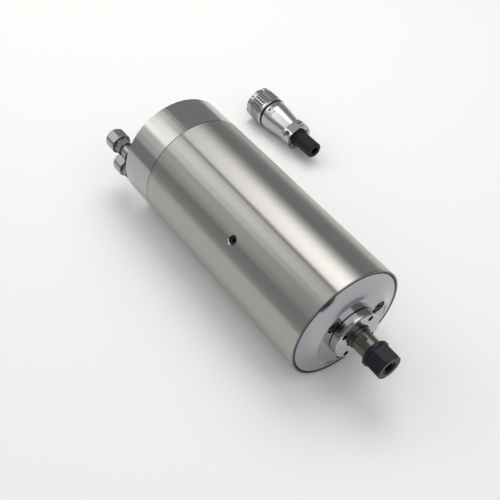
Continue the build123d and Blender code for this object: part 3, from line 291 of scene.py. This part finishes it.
brushed = turned_metal(
    "brushed_steel", WARM_DARK, WARM_LIGHT, 0.23, 0.27, stretch=1.0, painted_shade=TUBE_PAINTED_SHADE)
polished = turned_metal("polished_steel", CAP_DARK, CAP_LIGHT, 0.12, 0.17, painted_shade=CAP_PAINTED_SHADE)
cover_steel = turned_metal("cover_steel", COVER_DARK, COVER_LIGHT, 0.10, 0.15, painted_shade=COVER_PAINTED_SHADE)
chrome_ring = turned_metal(
    "lock_ring_chrome", CHROME_DARK, CHROME_LIGHT, 0.12, 0.18, painted_shade=LOCK_RING_PAINTED_SHADE)
shaft_steel = turned_metal("shaft_steel", SHAFT_DARK, SHAFT_LIGHT, 0.26, 0.36)
nut_black = turned_metal("nut_black", NUT_DARK, NUT_LIGHT, 0.32, 0.42, metallic=0.0, ior=1.3)
collet_steel = turned_metal(
    "collet_steel", (0.035, 0.035, 0.036), (0.060, 0.060, 0.062), 0.30, 0.40)
screw_black = cast_metal(
    "screw_black", (0.012, 0.012, 0.013), (0.030, 0.030, 0.033), 0.34, 0.50, metallic=0.3)
bearing_steel = turned_metal("bearing_steel", CHROME_DARK, CHROME_LIGHT, 0.08, 0.14)
dark_steel = cast_metal("dark_steel", (0.14, 0.14, 0.15), (0.22, 0.22, 0.23), 0.30, 0.45)
zinc_steel = cast_metal("zinc_steel", (0.40, 0.41, 0.42), (0.50, 0.51, 0.52), 0.22, 0.34)
aluminium = turned_metal("aluminium", (0.55, 0.56, 0.57), (0.66, 0.67, 0.68), 0.25, 0.38)
laminations = turned_metal(
    "laminations", (0.12, 0.12, 0.13), (0.26, 0.26, 0.27), 0.35, 0.5, pitch=1.0 * MM)
winding = cast_metal(
    "winding_copper", (0.35, 0.12, 0.05), (0.60, 0.24, 0.10), 0.30, 0.45, depth=2e-5)
brass = cast_metal("brass", (0.55, 0.40, 0.16), (0.70, 0.52, 0.24), 0.18, 0.30)
rubber = plain_stuff(
    "black_rubber", (0.006, 0.006, 0.008), (0.016, 0.016, 0.019), 0.45, 0.60)
insulator = plain_stuff("insulator", (0.10, 0.085, 0.07), (0.16, 0.14, 0.12), 0.40, 0.55)

dress(brushed, "housing_tube")
dress(polished, "rear_cover")
dress(cover_steel, "front_cover")
dress(chrome_ring, "bearing_lock_ring")
dress(shaft_steel, "shaft", "shaft_lock_nut")
dress(nut_black, "collet_nut")
dress(collet_steel, "collet")
dress(screw_black, "front_cover_screws", "side_lock_screw", "rear_cover_screws", "circlip")
dress(bearing_steel, "front_outer_rings", "front_inner_rings", "front_balls", "outer_spacer",
      "inner_spacer", "rear_outer_ring", "rear_inner_ring", "rear_balls")
dress(dark_steel, "preload_spring")
dress(zinc_steel, "socket_shell", "socket_nut", "clamp_screws")
dress(aluminium, "rear_bearing_bracket", "water_jacket", "rotor_end_rings", "front_bearing_housing")
dress(laminations, "stator_core", "rotor_core")
dress(winding, "stator_winding")
dress(brass, "socket_pins", "plug_contacts", "front_cages", "rear_cage")
dress(rubber, "front_oring", "rear_oring", "port_washers", "plug_seal", "cable_sleeve")
dress(insulator, "socket_insert", "plug_insert")

for fitting in ("upper", "lower"):
    axis = axis_of(fitting + "_hose_nut")
    name = fitting + "_nickel"
    nickel = turned_metal(name, NICKEL_DARK, NICKEL_LIGHT, 0.22, 0.30, centre=axis)
    dress(nickel, fitting + "_fitting", fitting + "_hose_nut")

plug_axis = axis_of("plug_shell")
plug_chrome = turned_metal("plug_chrome", PLUG_DARK, PLUG_LIGHT, 0.14, 0.20, centre=plug_axis)
dress(plug_chrome, "plug_barrel", "clamp_saddle")

# Plug ring, in millimetres: scallops and bore as in the solid, and a square knurl cut round its
# grip
RING_RADIUS = 13.0
RING_EDGE = 0.4
RING_BORE = 9.58
RING_SEAT = 8.0
RING_LIP = 3.0
SCALLOP_COUNT = 8
SCALLOP_RADIUS = 2.7
SCALLOP_DEPTH = 0.9
SCALLOP_LENGTH = 4.0
SCALLOP_START = math.radians(40.5)
KNURL_MARGINS = (4.8, 3.0)
KNURL_ROWS = 4
KNURL_COUNT = 34
KNURL_STEPS = 8
KNURL_DEPTH = 0.45
KNURL_GROOVE = 0.2
KNURL_RUNOUT = 0.3
KNURL_SHARP = math.radians(12.0)
# Painted shade in the knurl grooves: x bounds, radius bounds and how much darker, in millimetres
KNURL_SHADE = ((-217.3, -206.9, 12.3, 12.93, 0.6),)


def scalloped(radius, angle, x_place):
    """The radius left after the scallops are cut, which run straight along the ring."""
    spacing = 2 * math.pi / SCALLOP_COUNT
    offset = (angle - SCALLOP_START + spacing / 2) % spacing - spacing / 2
    middle = RING_RADIUS + SCALLOP_RADIUS - SCALLOP_DEPTH
    side = middle * math.sin(offset)
    if abs(side) >= SCALLOP_RADIUS:
        return radius
    return min(radius, middle * math.cos(offset) - math.sqrt(SCALLOP_RADIUS ** 2 - side ** 2))


def knurl_between(x_low, x_high):
    """A function for the radius left by grooves round the axis, crossed by grooves along it."""
    pitch = (x_high - x_low) / KNURL_ROWS

    def cut(radius, angle, x_place):
        lengthwise = (x_place - x_low) / pitch
        around = angle * KNURL_COUNT / (2 * math.pi)
        nearest = min(abs(lengthwise - round(lengthwise)), abs(around - round(around)))
        return radius - KNURL_DEPTH * max(0.0, 1 - nearest / KNURL_GROOVE)

    return cut


def smooth_over(piece, sharp_angle):
    """Smooth shading, except over edges that are sharper than an angle."""
    piece.data.shade_smooth()
    piece.data.set_sharp_from_angle(angle=sharp_angle)


def piece_from(name, mesh, material, sharp_angle):
    """A scene object made from a finished bmesh."""
    bmesh.ops.recalc_face_normals(mesh, faces=mesh.faces)
    data = bpy.data.meshes.new(name)
    mesh.to_mesh(data)
    mesh.free()
    data.materials.append(material)
    piece = bpy.data.objects.new(name, data)
    bpy.context.scene.collection.objects.link(piece)
    smooth_over(piece, sharp_angle)
    return piece


def turn_outline(name, outline, centre, sections, material, sharp_angle):
    """A closed mesh turned about a line parallel to X, from (x, radius, cut) rows in
    millimetres."""
    mesh = bmesh.new()
    circles = []
    for x_place, radius, cut in outline:
        circle = []
        for i in range(sections):
            angle = 2 * math.pi * i / sections
            here = (cut(radius, angle, x_place) if cut else radius) * MM
            y_place = centre[0] + here * math.cos(angle)
            z_place = centre[1] + here * math.sin(angle)
            circle.append(mesh.verts.new((x_place * MM, y_place, z_place)))
        circles.append(circle)
    for first, second in zip(circles, circles[1:] + circles[:1]):
        for i in range(sections):
            j = (i + 1) % sections
            mesh.faces.new((first[i], first[j], second[j], second[i]))
    bmesh.ops.remove_doubles(mesh, verts=mesh.verts, dist=MERGE_DISTANCE)
    return piece_from(name, mesh, material, sharp_angle)


def make_knurled_ring():
    """The coupling ring of the plug, with the grip that the solid leaves plain."""
    low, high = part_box("plug_ring")
    front, back = low.x / MM, high.x / MM
    knurl_low, knurl_high = front + KNURL_MARGINS[0], back - KNURL_MARGINS[1]
    knurled = knurl_between(knurl_low, knurl_high)
    row_count = KNURL_ROWS * KNURL_STEPS
    step = (knurl_high - knurl_low) / row_count
    outline = [
        (front, RING_RADIUS - RING_EDGE, scalloped),
        (front + RING_EDGE, RING_RADIUS, scalloped),
        (front + SCALLOP_LENGTH, RING_RADIUS, scalloped),
        (front + SCALLOP_LENGTH, RING_RADIUS, None),
        (knurl_low - KNURL_RUNOUT, RING_RADIUS, None),
    ]
    outline += [(knurl_low + i * step, RING_RADIUS, knurled) for i in range(row_count + 1)]
    outline += [
        (knurl_high + KNURL_RUNOUT, RING_RADIUS, None),
        (back - RING_EDGE, RING_RADIUS, None),
        (back, RING_RADIUS - RING_EDGE, None),
        (back, RING_SEAT, None),
        (back - RING_LIP, RING_SEAT, None),
        (back - RING_LIP, RING_BORE, None),
        (front, RING_BORE, None),
    ]
    chrome = turned_metal(
        "knurled_chrome", PLUG_DARK, PLUG_LIGHT, 0.10, 0.16, plug_axis, painted_shade=KNURL_SHADE)
    sections = KNURL_COUNT * KNURL_STEPS
    ring = turn_outline("knurled_ring", outline, plug_axis, sections, chrome, KNURL_SHARP)
    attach(ring, "plug_ring")
    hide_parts("plug_ring")


# Plug shell, in millimetres: as in the solid, but with its flats and set screw at the angle read
# in the photograph, which is further round than the clamp
SHELL_FRONT = -202.5
SHELL_TAPER = -198.0
SHELL_CLAMP = -178.0
SHELL_RADIUS = 12.0
NECK_RADIUS = 9.2
NECK_BORE = 7.6
SHELL_SEAT = 7.75
SHELL_BORE = 8.0
SHELL_SECTIONS = 128
SHELL_SHARP = math.radians(7.0)
FLAT_ANGLES = (math.radians(121.0), math.radians(301.0))
FLAT_START = -196.0
FLAT_DEPTH = 0.4
FLAT_LENGTH = 22.0
FLAT_WIDTH = 8.0
GRUB_X = -199.6
GRUB_RADIUS = 1.25
GRUB_HOLE = (8.8, 14.0)
GRUB_REACH = (10.7, 12.1)
GRUB_SOCKET = 0.72
GRUB_SOCKET_DEPTH = 0.8
GRUB_CLEARANCE = 0.05
CLAMP_ROLL = math.radians(18.0)
CLAMP_LENGTH = 8.5
CLAMP_HALF_WIDTH = 10.45
CLAMP_HALF_HEIGHT = 8.9
CLAMP_CORNER = 7.2
CLAMP_SPLIT = 0.6
CLAMP_BORE = 5.45
TAP_RADIUS = 1.3
TAP_OFFSET = 7.3
TAP_DEPTH = 4.5
ROUND_STEPS = 32
CORNER_STEPS = 16
HEXAGON = 6


def arc(middle, radius, start, end, steps):
    """Points on an arc, with angles in degrees and both ends included."""
    turns = (math.radians(start + (end - start) * i / steps) for i in range(steps + 1))
    across, up = middle
    return [(across + radius * math.cos(turn), up + radius * math.sin(turn)) for turn in turns]


def full_circle(middle, radius, steps=ROUND_STEPS):
    """Points all round a circle, or the corners of a regular shape."""
    return arc(middle, radius, 0, 360, steps)[:-1]


def outward(angle):
    """The direction square to X, at an angle from +Y towards +Z."""
    return Vector((0.0, math.cos(angle), math.sin(angle)))


def plug_frame(x_place, angle, radius, x_axis, normal):
    """The placing of a flat outline: its origin by x, angle and radius on the plug, and the
    directions of its first and third axes."""
    origin = Vector((x_place * MM, *plug_axis)) + outward(angle) * radius * MM
    columns = (x_axis, normal.cross(x_axis), normal)
    return Matrix.Translation(origin) @ Matrix(columns).transposed().to_4x4()


def prism(name, outline, low, high, placing, material, sharp_angle=SHELL_SHARP):
    """A closed mesh: an outline in millimetres, drawn out along the third axis of its placing."""
    mesh = bmesh.new()
    layers = [
        [mesh.verts.new(placing @ Vector((u * MM, v * MM, level * MM))) for u, v in outline]
        for level in (low, high)
    ]
    mesh.faces.new(layers[0])
    mesh.faces.new(layers[1])
    for i in range(len(outline)):
        j = (i + 1) % len(outline)
        mesh.faces.new((layers[0][i], layers[0][j], layers[1][j], layers[1][i]))
    return piece_from(name, mesh, material, sharp_angle)


def combine(piece, tool, operation, sharp_angle=SHELL_SHARP):
    """Cuts a tool out of a piece or joins it to the piece, and removes the tool."""
    step = piece.modifiers.new("combine", "BOOLEAN")
    step.operation = operation
    step.solver = "EXACT"
    step.object = tool
    bpy.context.view_layer.update()
    evaluated = piece.evaluated_get(bpy.context.evaluated_depsgraph_get())
    result = bpy.data.meshes.new_from_object(evaluated)
    piece.modifiers.clear()
    piece.data = result
    bpy.data.objects.remove(tool)
    smooth_over(piece, sharp_angle)


def clamp_outline():
    """The half of the cable clamp below its split, seen along the axis."""
    middle = (CLAMP_HALF_WIDTH - CLAMP_CORNER, CLAMP_CORNER - CLAMP_HALF_HEIGHT)
    split_angle = math.degrees(math.asin(CLAMP_SPLIT / CLAMP_BORE))
    points = [(CLAMP_HALF_WIDTH, -CLAMP_SPLIT)]
    points += arc(middle, CLAMP_CORNER, 0, -90, CORNER_STEPS)
    points += arc((-middle[0], middle[1]), CLAMP_CORNER, -90, -180, CORNER_STEPS)
    points.append((-CLAMP_HALF_WIDTH, -CLAMP_SPLIT))
    points += arc((0, 0), CLAMP_BORE, 180 + split_angle, 360 - split_angle, ROUND_STEPS)
    return points


def make_plug_shell():
    """The tapered shell with two milled flats, a hole for the set screw and the lower half of the
    clamp, and the set screw in its hole."""
    outline = [
        (SHELL_FRONT, SHELL_SEAT, None),
        (SHELL_FRONT, SHELL_RADIUS, None),
        (SHELL_TAPER, SHELL_RADIUS, None),
        (SHELL_CLAMP, NECK_RADIUS, None),
        (SHELL_CLAMP, NECK_BORE, None),
        (SHELL_TAPER, SHELL_BORE, None),
        (SHELL_TAPER, SHELL_SEAT, None),
    ]
    shell = turn_outline(
        "tapered_shell", outline, plug_axis, SHELL_SECTIONS, plug_chrome, SHELL_SHARP)
    along = Vector((1.0, 0.0, 0.0))
    slope = (SHELL_RADIUS - NECK_RADIUS) / (SHELL_CLAMP - SHELL_TAPER)
    taper = math.atan(slope)
    flat_radius = SHELL_RADIUS - (FLAT_START - SHELL_TAPER) * slope - FLAT_DEPTH
    slot_radius = FLAT_WIDTH / 2
    slot_outline = arc((slot_radius, 0), slot_radius, 90, 270, CORNER_STEPS)
    slot_outline += arc((FLAT_LENGTH - slot_radius, 0), slot_radius, -90, 90, CORNER_STEPS)
    for angle in FLAT_ANGLES:
        down = along * math.cos(taper) - outward(angle) * math.sin(taper)
        square = along * math.sin(taper) + outward(angle) * math.cos(taper)
        placing = plug_frame(FLAT_START, angle, flat_radius, down, square)
        tool = prism("flat_tool", slot_outline, 0, FLAT_WIDTH, placing, plug_chrome)
        combine(shell, tool, "DIFFERENCE")
    placing = plug_frame(SHELL_CLAMP, 0.0, 0.0, outward(CLAMP_ROLL), along)
    clamp = prism("clamp_half", clamp_outline(), 0, CLAMP_LENGTH, placing, plug_chrome)
    combine(shell, clamp, "UNION")
    upright = outward(CLAMP_ROLL + math.pi / 2)
    placing = plug_frame(SHELL_CLAMP + CLAMP_LENGTH / 2, 0.0, 0.0, along, upright)
    for side in (1, -1):
        tap = full_circle((0, side * TAP_OFFSET), TAP_RADIUS)
        tool = prism("tap_tool", tap, -CLAMP_SPLIT - TAP_DEPTH, 0, placing, plug_chrome)
        combine(shell, tool, "DIFFERENCE")
    placing = plug_frame(GRUB_X, 0.0, 0.0, along, outward(FLAT_ANGLES[0]))
    hole = full_circle((0, 0), GRUB_RADIUS + GRUB_CLEARANCE)
    tool = prism("grub_tool", hole, *GRUB_HOLE, placing, plug_chrome)
    combine(shell, tool, "DIFFERENCE")
    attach(shell, "plug")
    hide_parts("plug_shell")

    rod = full_circle((0, 0), GRUB_RADIUS)
    screw = prism("shell_set_screw", rod, *GRUB_REACH, placing, dark_steel)
    socket = full_circle((0, 0), GRUB_SOCKET, HEXAGON)
    socket_floor = GRUB_REACH[1] - GRUB_SOCKET_DEPTH
    tool = prism("socket_tool", socket, socket_floor, GRUB_HOLE[1], placing, dark_steel)
    combine(screw, tool, "DIFFERENCE")
    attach(screw, "plug")
    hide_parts("plug_set_screw")


make_knurled_ring()
make_plug_shell()

# Stage: a pale floor under the tube
FLOOR_X = (-1.3, 1.1)
FLOOR_Y = (-0.45, 0.45)
FLOOR_COLOUR = (0.96, 0.96, 0.96)
FLOOR_ROUGHNESS = 0.9


def make_floor():
    """The top of a plain table under the motor."""
    around = ((0, 0), (1, 0), (1, 1), (0, 1))
    corners = [(FLOOR_X[i], FLOOR_Y[j], cad_low.z) for i, j in around]
    mesh = bpy.data.meshes.new("floor")
    mesh.from_pydata(corners, [], [(0, 1, 2, 3)])
    floor = bpy.data.objects.new("floor", mesh)
    bpy.context.scene.collection.objects.link(floor)
    material, tree, shader = new_finish("floor_paper", 0.0)
    shader.inputs["Base Color"].default_value = (*FLOOR_COLOUR, 1.0)
    shader.inputs["Roughness"].default_value = FLOOR_ROUGHNESS
    shader.inputs["Specular IOR Level"].default_value = 0.0
    mesh.materials.append(material)


# Lights: soft boxes at an angle round the spindle axis, and at a place along it. Each strip is a
# pair of angles in degrees from +Y towards +Z, and a radiance. Lengths are in metres.
WALL_GREY = 0.37
WARM_LAMP = (1.0, 0.985, 0.95)
LAMP_DISTANCE = 0.95
KEY_X = (-0.72, -0.02)
KEY_STRIPS = (
    (42, 48, 0.6), (48, 54, 1.2), (54, 60, 2.0), (60, 68, 2.8), (68, 76, 3.2), (76, 84, 3.0),
    (84, 90.5, 2.6),
)
NEAR_X = (-0.92, -0.52)
NEAR_STRIPS = (
    (95.5, 103, 1.5), (103, 117, 1.9), (117, 129, 1.1), (129, 145, 0.78), (145, 158, 0.48),
)
FAR_X = (-1.45, -0.92)
FAR_STRIPS = (
    (76, 84, 0.42), (84, 95.5, 0.95), (95.5, 103, 1.3), (103, 117, 1.6), (117, 129, 2.0),
    (129, 145, 0.62), (145, 158, 0.40),
)
FILL_X = (0.25, 1.45)
FILL_ANGLES = (60.0, 120.0)
FILL_DISTANCE = 1.25
FILL_RADIANCE = 1.2
WHITE_LAMP = (1.0, 1.0, 1.0)


def softbox(name, x_range, angle_low, angle_high, distance, radiance, colour=WARM_LAMP):
    """A rectangular lamp parallel to X, which fills a range of angles round the spindle axis."""
    x_low, x_high = x_range
    angle = math.radians((angle_low + angle_high) / 2)
    half_angle = math.radians((angle_high - angle_low) / 2)
    lamp = bpy.data.lights.new(name, "AREA")
    lamp.shape = "RECTANGLE"
    lamp.size = x_high - x_low
    lamp.size_y = 2 * distance * math.tan(half_angle)
    lamp.energy = radiance * math.pi * lamp.size * lamp.size_y
    lamp.color = colour
    light = bpy.data.objects.new(name, lamp)
    direction = outward(angle)
    light.location = direction * distance + Vector(((x_low + x_high) / 2, 0.0, 0.0))
    light.rotation_mode = "QUATERNION"
    light.rotation_quaternion = direction.to_track_quat("Z", "Y")
    bpy.context.scene.collection.objects.link(light)


def make_lights():
    """Soft boxes over and behind the motor, and a grey room round them."""
    for low, high, radiance in KEY_STRIPS:
        softbox("key_%d" % low, KEY_X, low, high, LAMP_DISTANCE, radiance)
    for low, high, radiance in NEAR_STRIPS:
        softbox("near_%d" % low, NEAR_X, low, high, LAMP_DISTANCE, radiance)
    for low, high, radiance in FAR_STRIPS:
        softbox("far_%d" % low, FAR_X, low, high, LAMP_DISTANCE, radiance)
    softbox("front_fill", FILL_X, *FILL_ANGLES, FILL_DISTANCE, FILL_RADIANCE, WHITE_LAMP)
    world = bpy.data.worlds.new("room")
    world.use_nodes = True
    background = world.node_tree.nodes["Background"]
    background.inputs["Color"].default_value = (WALL_GREY, WALL_GREY, WALL_GREY, 1.0)
    background.inputs["Strength"].default_value = 1.0
    bpy.context.scene.world = world


def make_camera():
    """The camera at the photograph's place."""
    lens = bpy.data.cameras.new("camera")
    lens.lens = VIEW_LENS
    lens.sensor_width = SENSOR_WIDTH
    camera = bpy.data.objects.new("camera", lens)
    level = math.cos(VIEW_ELEVATION)
    east, north = math.sin(VIEW_AZIMUTH) * level, -math.cos(VIEW_AZIMUTH) * level
    backward = Vector((east, north, math.sin(VIEW_ELEVATION)))
    camera.location = VIEW_TARGET + backward * VIEW_DISTANCE
    camera.rotation_mode = "QUATERNION"
    camera.rotation_quaternion = backward.to_track_quat("Z", "Y")
    bpy.context.scene.collection.objects.link(camera)
    bpy.context.scene.camera = camera


make_floor()
make_lights()
make_camera()
bpy.context.scene.view_settings.view_transform = "Standard"
